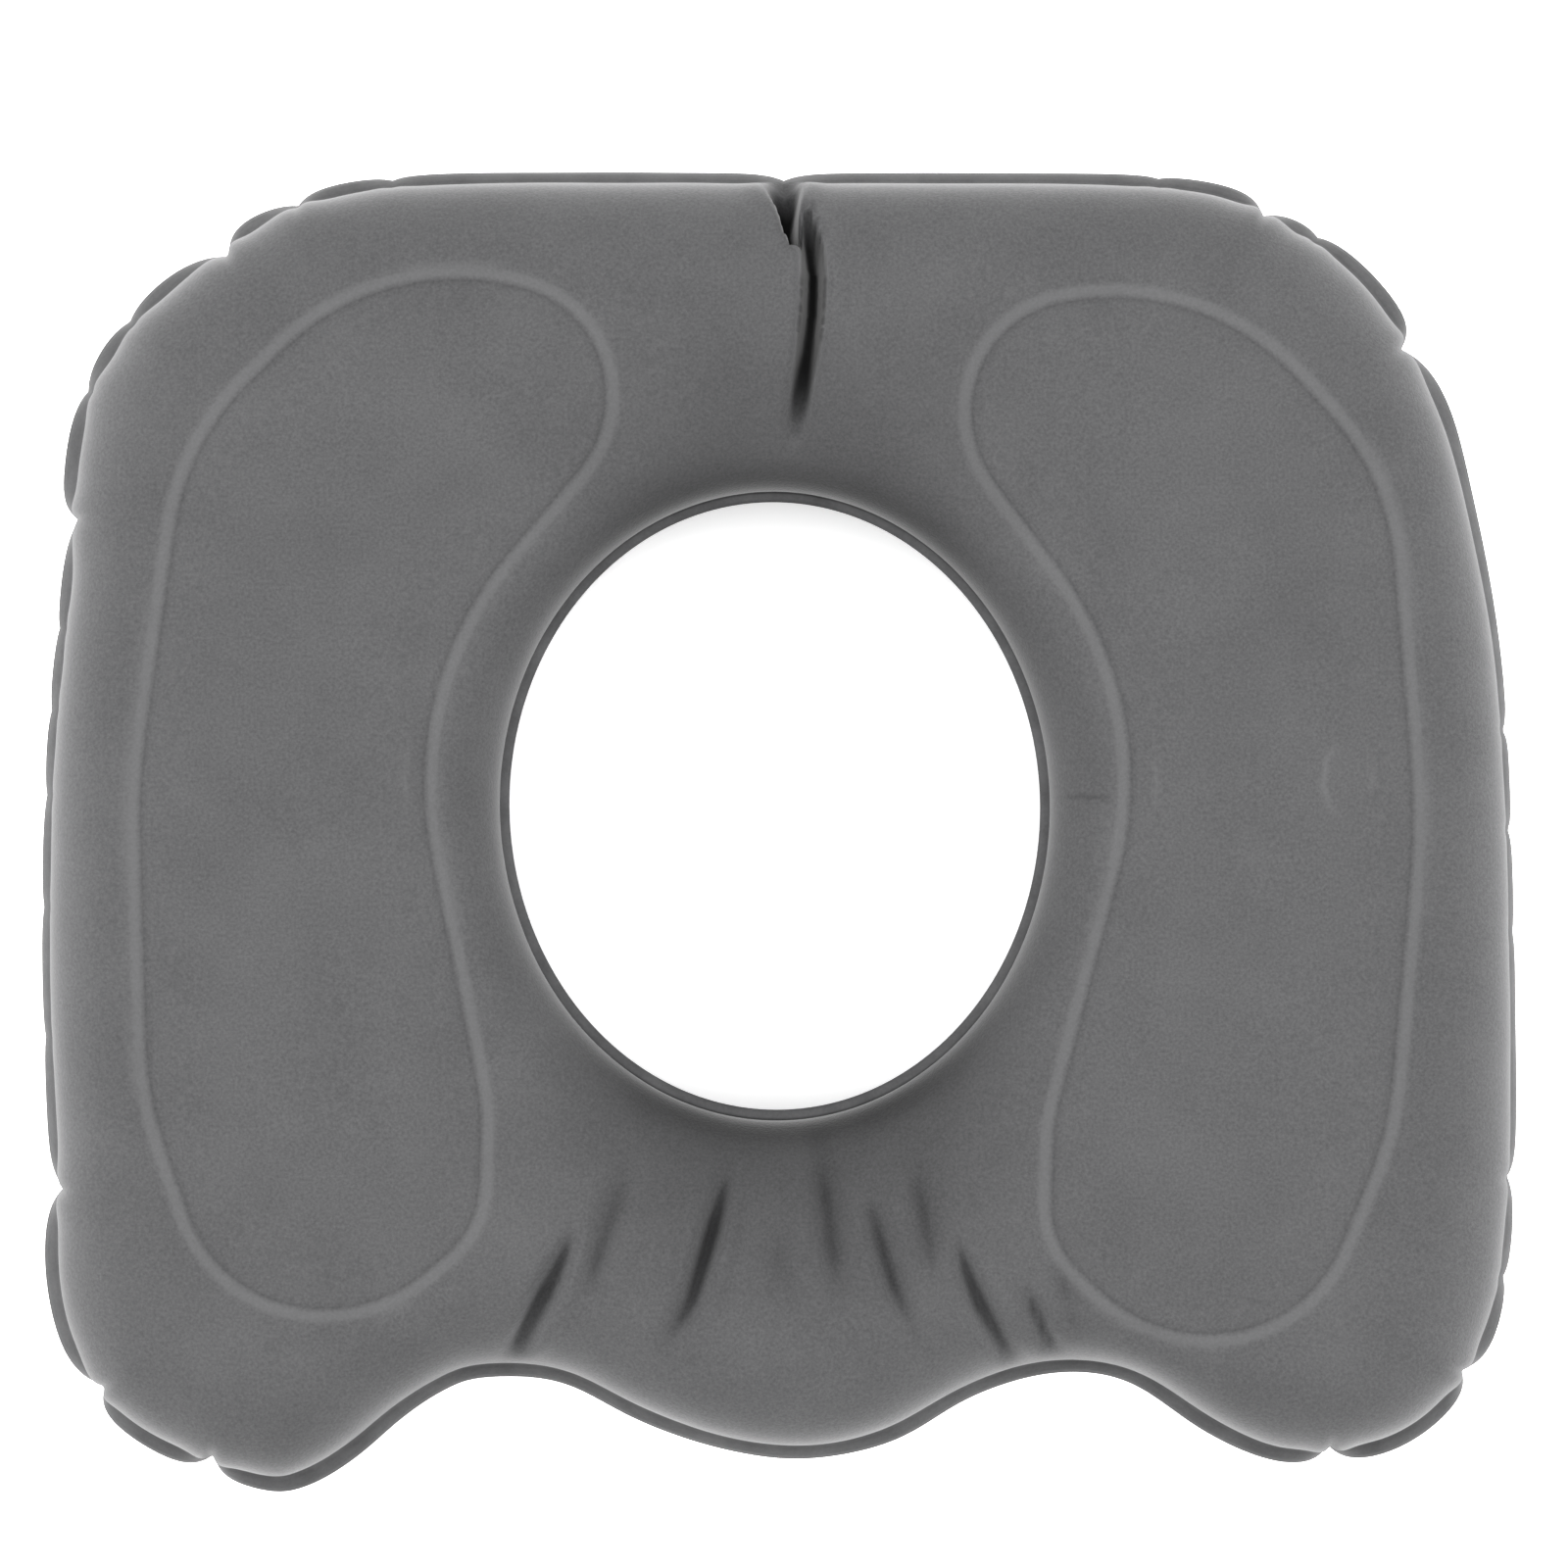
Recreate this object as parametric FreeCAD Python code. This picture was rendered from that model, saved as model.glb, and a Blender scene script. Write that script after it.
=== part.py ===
"""Inflatable seat cushion with a central opening.

Two sheets of flocked PVC are welded together round the outer edge and round the
opening, and trap the air between them. Inside, two kidney-shaped tension walls
tie the sheets together so that the seat stays flat. A push-in stem valve with a
non-return flap and a plug on a tether sits in a dimple of the underside.

Millimetres. +X is the sitter's left to right, +Y the straight back edge, +Z up.
The origin is on the floor, below the centre of the cushion's outline.
"""

import FreeCAD, Part
import math
import os

Vector = FreeCAD.Vector
UP = Vector(0, 0, 1)

# ---------------------------------------------------------------- the cushion
WIDTH = 430.0              # over the welded edge, side to side
DEPTH = 383.0              # over the welded edge, back edge to front horns
THICKNESS = 65.0           # inflated, from floor to seat
SHEET = 0.5                # flocked PVC sheet
SEAM_WIDTH = 6.5           # welded edge that stands out all round
ROLL_RADIUS = 29.0         # how the side rounds over into the seat
LEAST_FLAT = 1.0           # upright or level strip that a rounding leaves beside it

# Outline: corners, each where two edges would meet, with the radius that joins them.
BACK_CORNER_RADIUS = 108.0
BACK_TAPER = 14.0          # the sides lean in by this much towards the back
SIDE_BEND = 200.0          # from the back edge to where the sides turn parallel
SIDE_BEND_RADIUS = 300.0
FRONT_CORNER_RADIUS = 60.0
HORN_INSET = 76.0          # inner corner of each front horn, in from the side
HORN_RADIUS = 45.0
NOTCH_INSET = 128.0        # corner of the thigh notch, in from the side
NOTCH_DEPTH = 39.7
NOTCH_RADIUS = 35.0
LOBE_RADIUS = 76.0         # the rounded point between the thigh notches
LEAST_STRAIGHT = 0.5       # straight piece that is always left between two arcs

# ---------------------------------------------------------------- the opening
HOLE_WIDTH = 154.0         # clear, inside its welded edge
HOLE_LENGTH = 177.0
HOLE_END_RADIUS = 68.0     # its front and back are rounder than its sides
LEAST_SIDE_BOW = 4.0       # what is left of the half width beyond the end radius
HOLE_BACKWARD = 7.0        # its centre, back from the centre of the outline
HOLE_SEAM_WIDTH = 3.2
HOLE_ROLL_RADIUS = 20.0

# ---------------------------------------------------------- the tension walls
WALL = 0.4                 # PVC strip standing on edge
WELD = 0.1                 # left between the strip's edges and the sheets they are welded to
WALL_SIDE_INSET = 31.0     # outermost line of the wall, in from the cushion's side
WALL_BACK_INSET = 33.0
WALL_FRONT_INSET = 50.0
WALL_HOLE_GAP = 20.5       # waist of the wall, out from the opening
PORT_RADIUS = 10.0         # air passes through these
PORT_PITCH = 58.0
PORT_COUNT = 3             # rows of ports; each row pierces both sides of the wall
WALL_SHIFT = 4.0           # the left one is welded this far back, the right one forward
WALL_TURN = 1.7            # degrees that both are turned clockwise, seen from above

# -------------------------------------------------------------------- the valve
VALVE_SIDE_INSET = 52.0    # valve axis, in from the cushion's right side
VALVE_BACKWARD = 16.0      # valve axis, back from the outline's centre
FLOOR_CLEARANCE = 0.2      # under the plug, so the cushion stands on its sheet
DIMPLE_SLOPE = 3.5         # how far out the dimple's side leans
DIMPLE_MARGIN = 2.0        # level sheet round the flange, in the dimple
FLANGE_WELD = 5.0          # width of the flange that is welded to the sheet
FLANGE_THICKNESS = 1.1
RIM_WALL = 2.3             # ring that shows through the hole in the sheet
RIM_STANDS_OUT = 0.6
RIM_PLAY = 0.2             # between that ring and the hole in the sheet
GUIDE_WALL = 1.0
STEM_TRAVEL = 10.0
STEM_BORE_RADIUS = 3.6
STEM_WALL = 2.15
STEM_PLAY = 0.25           # radial, stem in the rim and collar in the guide
COLLAR_STEP = 1.0          # collar that keeps the stem from being pulled right out
COLLAR_THICKNESS = 2.0
LIP_OVERHANG = 1.4         # stem lip that stops it going in too far
LIP_THICKNESS = 1.1
SEAT_GAP = 0.1             # between faces that only rest on each other
FLAP_THICKNESS = 0.4
FLAP_OVERLAP = 1.6         # flap radius beyond the bore
PLUG_PLAY = 0.05           # radial, plug shank in the stem bore
PLUG_SHANK = 7.0
PLUG_NOSE = 2.0            # tapered end of the shank
PLUG_NOSE_TAPER = 0.7
PLUG_HEAD_RADIUS = 6.6
PLUG_HEAD_THICKNESS = 1.4
PLUG_HEAD_ROUNDING = 0.55
GRIP_LENGTH = 8.8          # grip ridge across the plug head
GRIP_WIDTH = 1.4
GRIP_HEIGHT = 0.5
TETHER_WIDTH = 2.2
TETHER_THICKNESS = 0.9
TETHER_GAP = 2.0           # between the plug head and the tether curled round it
TETHER_START = 25.0        # degrees, where it leaves the plug head
TETHER_END = 205.0         # degrees, where it joins the stem lip
TETHER_NECK = 12.0         # degrees that its two ends are wide
TETHER_PLAY = 0.3          # between the tether's neck and the plug head
NECK_BITE = 0.5            # how far the neck runs into the strap

# -------------------------------------------------------------- derived places
half_width = WIDTH / 2
back = DEPTH / 2
front = -DEPTH / 2
half_thick = THICKNESS / 2
hole_centre = Vector(0, HOLE_BACKWARD, 0)
valve_x = half_width - VALVE_SIDE_INSET
valve_y = VALVE_BACKWARD


def rounded_loop(corners):
    """A closed wire of straight edges and tangent arcs. corners: (x, y, radius).

    A radius that its two edges have no room for is reduced.
    """
    points = [Vector(x, y, 0) for x, y, radius in corners]
    count = len(points)
    ahead = [(points[(k + 1) % count] - points[k]) for k in range(count)]
    half_turn = []
    reach = []
    for k, (x, y, radius) in enumerate(corners):
        half_turn.append(ahead[k - 1].getAngle(ahead[k]) / 2)
        reach.append(radius * math.tan(half_turn[k]))
    room = [1.0] * count
    for k in range(count):
        needed = reach[k] + reach[(k + 1) % count]
        limit = min(1.0, (ahead[k].Length - LEAST_STRAIGHT) / needed)
        room[k] = min(room[k], limit)
        room[(k + 1) % count] = min(room[(k + 1) % count], limit)
    starts, middles, ends = [], [], []
    for k in range(count):
        into = Vector(ahead[k - 1]).normalize()
        out = Vector(ahead[k]).normalize()
        leg = reach[k] * room[k]
        radius = leg / math.tan(half_turn[k])
        starts.append(points[k] - into * leg)
        ends.append(points[k] + out * leg)
        towards_centre = (out - into).normalize()
        middles.append(points[k] + towards_centre * radius * (1 / math.cos(half_turn[k]) - 1))
    edges = []
    for k in range(count):
        edges.append(Part.Arc(starts[k], middles[k], ends[k]).toShape())
        edges.append(Part.LineSegment(ends[k], starts[(k + 1) % count]).toShape())
    return Part.Wire(edges)


def cushion_outline():
    """The edge of the welded flange."""
    half = [
        (half_width - BACK_TAPER, back, BACK_CORNER_RADIUS),
        (half_width, back - SIDE_BEND, SIDE_BEND_RADIUS),
        (half_width, front, FRONT_CORNER_RADIUS),
        (half_width - HORN_INSET, front, HORN_RADIUS),
        (half_width - NOTCH_INSET, front + NOTCH_DEPTH, NOTCH_RADIUS),
    ]
    return rounded_loop(half + [(0, front, LOBE_RADIUS)]
                        + [(-x, y, radius) for x, y, radius in reversed(half)])


def hole_outline():
    """The clear opening: an oval of four tangent arcs, its long axis along Y."""
    long_half, short_half = sorted((HOLE_LENGTH / 2, HOLE_WIDTH / 2), reverse=True)
    end_radius = min(HOLE_END_RADIUS, short_half - LEAST_SIDE_BOW)
    end_offset = long_half - end_radius
    spare = short_half - end_radius
    side_offset = (end_offset ** 2 - spare ** 2) / (2 * spare)
    lean = math.atan2(side_offset, end_offset)
    knee = Vector(math.sin(lean), math.cos(lean), 0) * end_radius
    corner = Vector(knee.x, end_offset + knee.y, 0)
    edges = []
    for flip in (1, -1):
        edges.append(Part.Arc(Vector(-corner.x, corner.y * flip, 0),
                              Vector(0, long_half * flip, 0),
                              Vector(corner.x, corner.y * flip, 0)).toShape())
        edges.append(Part.Arc(Vector(corner.x * flip, corner.y, 0),
                              Vector(short_half * flip, 0, 0),
                              Vector(corner.x * flip, -corner.y, 0)).toShape())
    oval = Part.Wire(Part.__sortEdges__(edges))
    if HOLE_WIDTH > HOLE_LENGTH:
        oval.rotate(Vector(), UP, 90)
    return oval.translated(hole_centre)


def moved_in(outline, inset):
    """The outline moved in by inset, or out where inset is negative."""
    return outline.makeOffset2D(-inset)


def plate(outline, bottom, top):
    return Part.Face(outline.translated(UP * bottom)).extrude(UP * (top - bottom))


def wall_outline(side):
    """One kidney, as a loop round the wall's centreline. side is +1 or -1.

    across runs from the waist (0) to the outermost line (1), and along from the
    front end (0) to the back end (1). Each corner has the radius that rounds it.
    """
    kidney = [
        (-0.60, 0.97, 36), (0.25, 1.02, 75), (0.89, 0.83, 75), (1.02, 0.50, 200),
        (0.96, 0.20, 100), (0.70, 0.00, 45), (0.15, -0.01, 50), (-0.20, 0.08, 28),
        (-0.20, 0.20, 60), (0.12, 0.60, 100), (-0.52, 0.83, 38),
    ]
    waist = HOLE_WIDTH / 2 + WALL_HOLE_GAP
    outermost = half_width - WALL_SIDE_INSET
    front_end = front + WALL_FRONT_INSET
    back_end = back - WALL_BACK_INSET
    corners = [(side * (waist + across * (outermost - waist)),
                front_end + along * (back_end - front_end) - side * WALL_SHIFT, radius)
               for across, along, radius in kidney]
    loop = rounded_loop(corners)
    centre = Vector(side * (waist + outermost) / 2, (front_end + back_end) / 2, 0)
    loop.rotate(centre, UP, -WALL_TURN)
    return loop


def edges_at(shape, height):
    """The edges that lie level at that height."""
    return [edge for edge in shape.Edges
            if abs(edge.BoundBox.ZMin - height) < 0.01 and abs(edge.BoundBox.ZMax - height) < 0.01]


def upper_half(skin):
    """The cushion above its weld, as a solid, with its surface moved in by skin."""
    top = half_thick - skin
    roll = min(ROLL_RADIUS, half_thick - LEAST_FLAT, HORN_RADIUS - SEAM_WIDTH - LEAST_FLAT) - skin
    body = plate(moved_in(cushion_outline(), SEAM_WIDTH + skin), 0, top)
    body = body.makeFillet(roll, edges_at(body, top))
    hole_roll = min(HOLE_ROLL_RADIUS, half_thick - LEAST_FLAT) - skin
    opening = plate(moved_in(hole_outline(), -HOLE_SEAM_WIDTH - skin), 0, top)
    body = body.cut(opening)
    around = opening.BoundBox
    around.enlarge(LEAST_FLAT)
    rim = [edge for edge in edges_at(body, top) if around.isInside(edge.BoundBox)]
    return body.makeFillet(hole_roll, rim)


def sheet_above():
    """The top sheet, with the weld in the plane z = 0."""
    outline, opening = cushion_outline(), hole_outline()
    skin = upper_half(0).cut(upper_half(SHEET))
    edge = plate(outline, 0, SHEET).cut(plate(moved_in(outline, SEAM_WIDTH + SHEET / 2), 0, SHEET))
    hole_edge = plate(moved_in(opening, -HOLE_SEAM_WIDTH - SHEET / 2), 0, SHEET).cut(
        plate(opening, 0, SHEET))
    return skin.fuse([edge, hole_edge]).removeSplitter()


def wall_space():
    """What the tension walls fill: the air space, less the welds on both sheets."""
    half = upper_half(SHEET + WELD)
    return half.fuse(half.mirror(Vector(0, 0, 0), UP)).translated(UP * half_thick)


def at_valve(shape):
    """Puts a valve piece, drawn round the Z axis from the floor up, in its place."""
    return shape.translated(Vector(valve_x, valve_y, 0))


def disc(radius, bottom, top):
    return Part.makeCylinder(radius, top - bottom, Vector(0, 0, bottom))


def ring(outer, inner, bottom, top):
    return disc(outer, bottom, top).cut(disc(inner, bottom, top))


# Valve radii, then heights from the floor up.
stem_radius = STEM_BORE_RADIUS + STEM_WALL
rim_inner = stem_radius + STEM_PLAY
rim_outer = rim_inner + RIM_WALL
collar_radius = stem_radius + COLLAR_STEP
guide_inner = collar_radius + STEM_PLAY
lip_radius = stem_radius + LIP_OVERHANG
flange_radius = rim_outer + RIM_PLAY + FLANGE_WELD
dimple_flat_radius = flange_radius + DIMPLE_MARGIN
dimple_radius = dimple_flat_radius + DIMPLE_SLOPE
head_bottom = FLOOR_CLEARANCE + GRIP_HEIGHT
head_top = head_bottom + PLUG_HEAD_THICKNESS
lip_bottom = head_top + SEAT_GAP
lip_top = lip_bottom + LIP_THICKNESS
rim_face = lip_top + SEAT_GAP
dimple_depth = rim_face + RIM_STANDS_OUT
flange_bottom = dimple_depth + SHEET
flange_top = flange_bottom + FLANGE_THICKNESS
collar_bottom = flange_top + STEM_TRAVEL + SEAT_GAP
collar_top = collar_bottom + COLLAR_THICKNESS
tether_inner = PLUG_HEAD_RADIUS + TETHER_GAP
tether_outer = tether_inner + TETHER_WIDTH


def bottom_sheet(top):
    """The mirror image of the top sheet, with a dimple and a hole for the valve."""
    flat = top.mirror(Vector(0, 0, half_thick), UP)
    profile = [
        (dimple_radius, 0), (dimple_radius, SHEET), (dimple_flat_radius, dimple_depth + SHEET),
        (rim_outer + RIM_PLAY, dimple_depth + SHEET), (rim_outer + RIM_PLAY, dimple_depth),
        (dimple_flat_radius + SHEET / 4, dimple_depth), (dimple_radius, 0),
    ]
    section = Part.Face(Part.makePolygon([Vector(radius, 0, height) for radius, height in profile]))
    dimple = section.revolve(Vector(), UP, 360)
    hole = disc(dimple_radius, 0, SHEET)
    return flat.cut(at_valve(hole)).fuse(at_valve(dimple)).removeSplitter()


def tension_wall(side, space):
    """A strip on edge round one kidney, welded to both sheets, with its air ports."""
    outline = wall_outline(side)
    wall = plate(moved_in(outline, -WALL / 2), 0, THICKNESS).cut(
        plate(moved_in(outline, WALL / 2), 0, THICKNESS)).common(space)
    middle = wall.BoundBox.Center
    for k in range(PORT_COUNT):
        along = middle.y + (k - (PORT_COUNT - 1) / 2) * PORT_PITCH
        start = Vector(side * HOLE_WIDTH / 2, along, half_thick)
        wall = wall.cut(Part.makeCylinder(PORT_RADIUS, half_width, start, Vector(side, 0, 0)))
    return wall


def valve_flange():
    """Collar welded inside the bottom sheet, and the guide that the stem slides in."""
    rim = ring(rim_outer, rim_inner, rim_face, flange_top)
    flange = ring(flange_radius, rim_inner, flange_bottom, flange_top)
    guide = ring(guide_inner + GUIDE_WALL, guide_inner, flange_top, collar_top)
    return at_valve(rim.fuse([flange, guide]).removeSplitter())


def valve_stem():
    """The tube that is pulled out to blow the cushion up and pushed in afterwards."""
    tube = disc(stem_radius, lip_bottom, collar_top)
    lip = disc(lip_radius, lip_bottom, lip_top)
    collar = disc(collar_radius, collar_bottom, collar_top)
    bore = disc(STEM_BORE_RADIUS, lip_bottom, collar_top)
    return at_valve(tube.fuse([lip, collar]).cut(bore).removeSplitter())


def check_flap():
    """The non-return flap over the stem's inner end, with its round-edged hinge tab."""
    bottom = collar_top + SEAT_GAP
    radius = STEM_BORE_RADIUS + FLAP_OVERLAP
    half_thick_flap = FLAP_THICKNESS / 2
    hinge = Vector(-stem_radius + half_thick_flap, -radius / 2, bottom + half_thick_flap)
    bead = Part.makeCylinder(half_thick_flap, radius, hinge, Vector(0, 1, 0))
    tab = Part.makeBox(radius, radius, FLAP_THICKNESS, hinge - UP * half_thick_flap)
    flap = disc(radius, bottom, bottom + FLAP_THICKNESS)
    return at_valve(flap.fuse([tab, bead]).removeSplitter())


def valve_plug():
    """The plug: a tapered shank in the stem's bore, and a round head with a grip."""
    shank_radius = STEM_BORE_RADIUS - PLUG_PLAY
    nose_start = head_top + PLUG_SHANK - PLUG_NOSE
    shank = disc(shank_radius, head_top, nose_start)
    nose = Part.makeCone(shank_radius, shank_radius - PLUG_NOSE_TAPER, PLUG_NOSE,
                         Vector(0, 0, nose_start))
    head = disc(PLUG_HEAD_RADIUS, head_bottom, head_top)
    head = head.makeFillet(PLUG_HEAD_ROUNDING, edges_at(head, head_bottom))
    grip = Part.makeBox(GRIP_LENGTH, GRIP_WIDTH, GRIP_HEIGHT,
                        Vector(-GRIP_LENGTH / 2, -GRIP_WIDTH / 2, head_bottom - GRIP_HEIGHT))
    return at_valve(head.fuse([shank, nose, grip]).removeSplitter())


def sector(outer, inner, bottom, top, start, end):
    """Part of a ring, between two angles in degrees."""
    face = Part.Face(Part.makePolygon([
        Vector(inner, 0, bottom), Vector(outer, 0, bottom),
        Vector(outer, 0, top), Vector(inner, 0, top), Vector(inner, 0, bottom)]))
    face.rotate(Vector(), UP, start)
    return face.revolve(Vector(), UP, end - start)


def plug_tether():
    """The flat strap that curls round the plug head and joins it to the stem lip."""
    bottom = head_top - TETHER_THICKNESS
    half_neck = TETHER_NECK / 2
    strap = sector(tether_outer, tether_inner, bottom, head_top,
                   TETHER_START - half_neck, TETHER_END + half_neck)
    neck = sector(tether_inner + NECK_BITE, PLUG_HEAD_RADIUS + TETHER_PLAY, bottom, head_top,
                  TETHER_START - half_neck, TETHER_START + half_neck)
    anchor = sector(tether_outer, lip_radius - NECK_BITE, lip_bottom, lip_top,
                    TETHER_END - half_neck, TETHER_END + half_neck)
    post = sector(tether_outer, tether_inner, bottom, lip_bottom,
                  TETHER_END - half_neck, TETHER_END + half_neck)
    lip = disc(lip_radius, lip_bottom, lip_top)
    return at_valve(strap.fuse([neck, anchor.cut(lip), post]).removeSplitter())


def build():
    top = sheet_above().translated(UP * half_thick)
    space = wall_space()
    return {
        "top_sheet": top,
        "bottom_sheet": bottom_sheet(top),
        "left_tension_wall": tension_wall(-1, space),
        "right_tension_wall": tension_wall(1, space),
        "valve_flange": valve_flange(),
        "valve_stem": valve_stem(),
        "check_flap": check_flap(),
        "valve_plug": valve_plug(),
        "plug_tether": plug_tether(),
    }


os.makedirs("parts", exist_ok=True)
for node, shape in build().items():
    piece = shape.Solids[0]
    print(f"{node}: {len(shape.Solids)} solid, valid {piece.isValid()}, {piece.Volume:.0f} mm3")
    piece.exportStep(f"parts/{node}.step")
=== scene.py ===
"""The looks of an inflatable flocked seat cushion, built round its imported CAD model.

The frame is the CAD model's: +X across the seat, +Y towards the straight back edge,
+Z up from the floor. The cushion's sizes are in millimetres and become metres, by MM,
as each mesh is made. The floor, lights and camera are in metres.
"""

import math

import bpy
import numpy as np
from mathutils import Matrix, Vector
from mathutils.geometry import delaunay_2d_cdt
from mathutils.kdtree import KDTree


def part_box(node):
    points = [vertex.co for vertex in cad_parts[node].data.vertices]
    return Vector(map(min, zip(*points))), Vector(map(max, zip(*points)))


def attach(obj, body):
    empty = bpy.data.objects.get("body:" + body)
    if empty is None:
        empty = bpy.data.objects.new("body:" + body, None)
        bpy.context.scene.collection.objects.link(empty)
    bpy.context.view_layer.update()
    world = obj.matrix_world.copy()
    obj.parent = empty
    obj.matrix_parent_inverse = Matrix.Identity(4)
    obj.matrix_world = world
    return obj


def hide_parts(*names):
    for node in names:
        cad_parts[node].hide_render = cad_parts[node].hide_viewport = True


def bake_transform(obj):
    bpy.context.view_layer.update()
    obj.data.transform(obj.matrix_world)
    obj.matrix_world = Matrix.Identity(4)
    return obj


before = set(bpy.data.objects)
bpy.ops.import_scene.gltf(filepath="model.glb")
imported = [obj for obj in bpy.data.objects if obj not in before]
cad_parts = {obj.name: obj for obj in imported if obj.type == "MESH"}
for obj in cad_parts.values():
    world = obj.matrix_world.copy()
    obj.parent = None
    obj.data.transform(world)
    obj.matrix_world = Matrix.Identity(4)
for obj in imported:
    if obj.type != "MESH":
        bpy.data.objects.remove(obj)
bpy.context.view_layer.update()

MM = 0.001


# ---------------------------------------------------------------- the welded edge
# A hot tool presses the two flocked sheets into one flat strip round the outside.
# Blowing the cushion up shortens this edge, so the strip hangs down along the sides
# and buckles into lobes at the corners, with a pinched fold between each two.

WELD_WIDTH = 6.5           # mm, the strip's real width
EDGE_STRIP = (0.0, 0.25, 0.5, 0.75, 1.0)    # its rows, as shares from cut edge to seam
EDGE_SEAM = len(EDGE_STRIP) - 1             # the row that lies on the seam
mid_height = (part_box("top_sheet")[0][2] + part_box("bottom_sheet")[1][2]) / 2 / MM

# The strip's outer edge, anticlockwise from the middle of the back:
# x, y and how much of the strip's width shows from above, all in mm.
edge_spots = [
    (2, 191, 3.4), (-55, 191.2, 3.4), (-104, 190.6, 3.6), (-134, 186.6, 4.2), (-159, 175.5, 4.4),
    (-184, 156, 4.6), (-202, 131, 4.6), (-208, 101, 4.6), (-209, 68, 3.8), (-213, 20, 3.2),
    (-214, -40, 3.0), (-212.3, -92, 3.4), (-213, -132, 4.6), (-203, -163, 4.4), (-180, -182, 4.8),
    (-151, -192.2, 4.8), (-137, -191, 5.0), (-123, -182.8, 4.8), (-110, -171.5, 4.4),
    (-98, -163.4, 4.0), (-86, -159.2, 4.2), (-63, -160.4, 4.2), (-41, -171.6, 4.2), (-17, -180, 4.2),
    (8, -183.2, 4.2), (34, -178, 4.6), (56, -165, 4.2), (80, -157.8, 4.2), (103, -160.4, 4.2),
    (126, -176, 4.6), (152, -185.2, 4.6), (184, -179, 4.8), (207.5, -153.5, 4.4),
    (214.5, -112, 2.6), (215, -58, 2.2), (213.8, -2, 2.2), (211, 50, 2.8), (203, 95, 3.4),
    (193, 132, 4.4), (172.5, 163, 4.6), (144, 182.5, 4.4), (116, 190, 3.8), (60, 191, 3.4),
]

# Pinched folds: where, how deep, and how gently the edge comes back out before and
# after each one (anticlockwise), all in mm.
pinches = [
    (2, 190, 2.4, 5, 5), (-113, 190, 1.2, 3, 3), (-140, 183, 3.2, 4, 7),
    (-161, 169, 7.0, 3.5, 9), (-190, 149, 2.0, 5, 5), (-202, 129, 2.2, 5, 5),
    (-205, 91, 5.5, 3.5, 9), (-210, 59, 0.9, 3, 4), (-212.5, 36, 0.9, 4, 4),
    (-213.5, 11, 0.8, 4, 5), (-214, -22, 0.7, 4, 4), (-213, -60, 0.6, 4, 4),
    (-212, -105, 5.5, 6, 5), (-200, -165, 6.5, 7, 3.5), (-166, -186, 7.0, 4, 4),
    (161, -185, 6.0, 4, 4), (203, -160, 5.5, 4, 5), (214, -130, 1.4, 3, 3),
    (215, -102, 2.6, 5, 4), (214, -30, 0.6, 3, 4), (213.6, 1, 1.2, 3, 2),
    (213, 29, 1.4, 2, 3), (188, 143, 7.0, 8, 3.5), (159, 174, 1.8, 4, 4),
    (143, 183, 5.0, 6, 3.5), (112, 190, 0.8, 3, 3),
]
PINCH_FADE = 13.0          # mm, how far into the cushion a pinched fold reaches


def smooth_loop(spots, steps=24):
    """A closed smooth curve through every spot, as an array with steps rows per spot."""
    here = np.array(spots, float)
    last = np.roll(here, 1, 0)
    ahead = np.roll(here, -1, 0)
    beyond = np.roll(here, -2, 0)
    t = np.linspace(0, 1, steps, endpoint=False)[:, None, None]
    curve = 0.5 * (2 * here + (ahead - last) * t + (2 * last - 5 * here + 4 * ahead - beyond) * t ** 2
                   + (3 * here - last - 3 * ahead + beyond) * t ** 3)
    return curve.transpose(1, 0, 2).reshape(-1, here.shape[1])


def along(loop):
    """Distance along a closed loop at each of its points, and its whole length."""
    steps = np.linalg.norm(np.roll(loop, -1, 0)[:, :2] - loop[:, :2], axis=1)
    return np.concatenate([[0], np.cumsum(steps)[:-1]]), steps.sum()


def soften(values, times):
    """Evens out values that run round a closed loop."""
    for _ in range(times):
        values = (np.roll(values, 1, 0) + 2 * values + np.roll(values, -1, 0)) / 4
    return values


edge_curve = soften(smooth_loop(edge_spots), 60)
edge_distance, edge_length = along(edge_curve)


def distance_at(x, y):
    """How far along the edge the place nearest to x, y is."""
    return edge_distance[np.argmin(np.hypot(edge_curve[:, 0] - x, edge_curve[:, 1] - y))]


def signed_gap(distances, place):
    """From place to each distance along the edge, the short way round."""
    return (distances - place + edge_length / 2) % edge_length - edge_length / 2


def edge_columns(count, close_spots):
    """Distances along the edge for the mesh's columns, closer together near some spots.

    close_spots: (distance, reach, times closer).
    """
    fine = np.linspace(0, edge_length, 20000, endpoint=False)
    density = np.ones_like(fine)
    for place, reach, times in close_spots:
        density += (times - 1) * np.exp(-(signed_gap(fine, place) / reach) ** 2)
    total = np.cumsum(density)
    return np.interp((np.arange(count) + 0.5) / count * total[-1], total, fine)


def edge_at(distances):
    """Points, visible weld widths and inward normals at distances along the edge."""
    closed = np.append(edge_distance, edge_length)
    loop = np.vstack([edge_curve, edge_curve[:1]])
    x, y, width = [np.interp(distances, closed, loop[:, k]) for k in range(3)]
    tangent = soften(np.roll(edge_curve, -4, 0) - np.roll(edge_curve, 4, 0), 250)[:, :2]
    tangent = np.vstack([tangent, tangent[:1]])
    tx, ty = [np.interp(distances, closed, tangent[:, k]) for k in range(2)]
    length = np.hypot(tx, ty)
    return np.stack([x, y], 1), width, np.stack([-ty / length, tx / length], 1)


# ------------------------------------------------------- the two flocked PVC sheets
# Each is one calendered PVC sheet with short nylon pile blown onto its outer face. The
# air rounds it over at the edges, and it is tied down along two kidney-shaped welds.
# The upper one is the seat; the lower one is flat where it lies on the floor.

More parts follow.
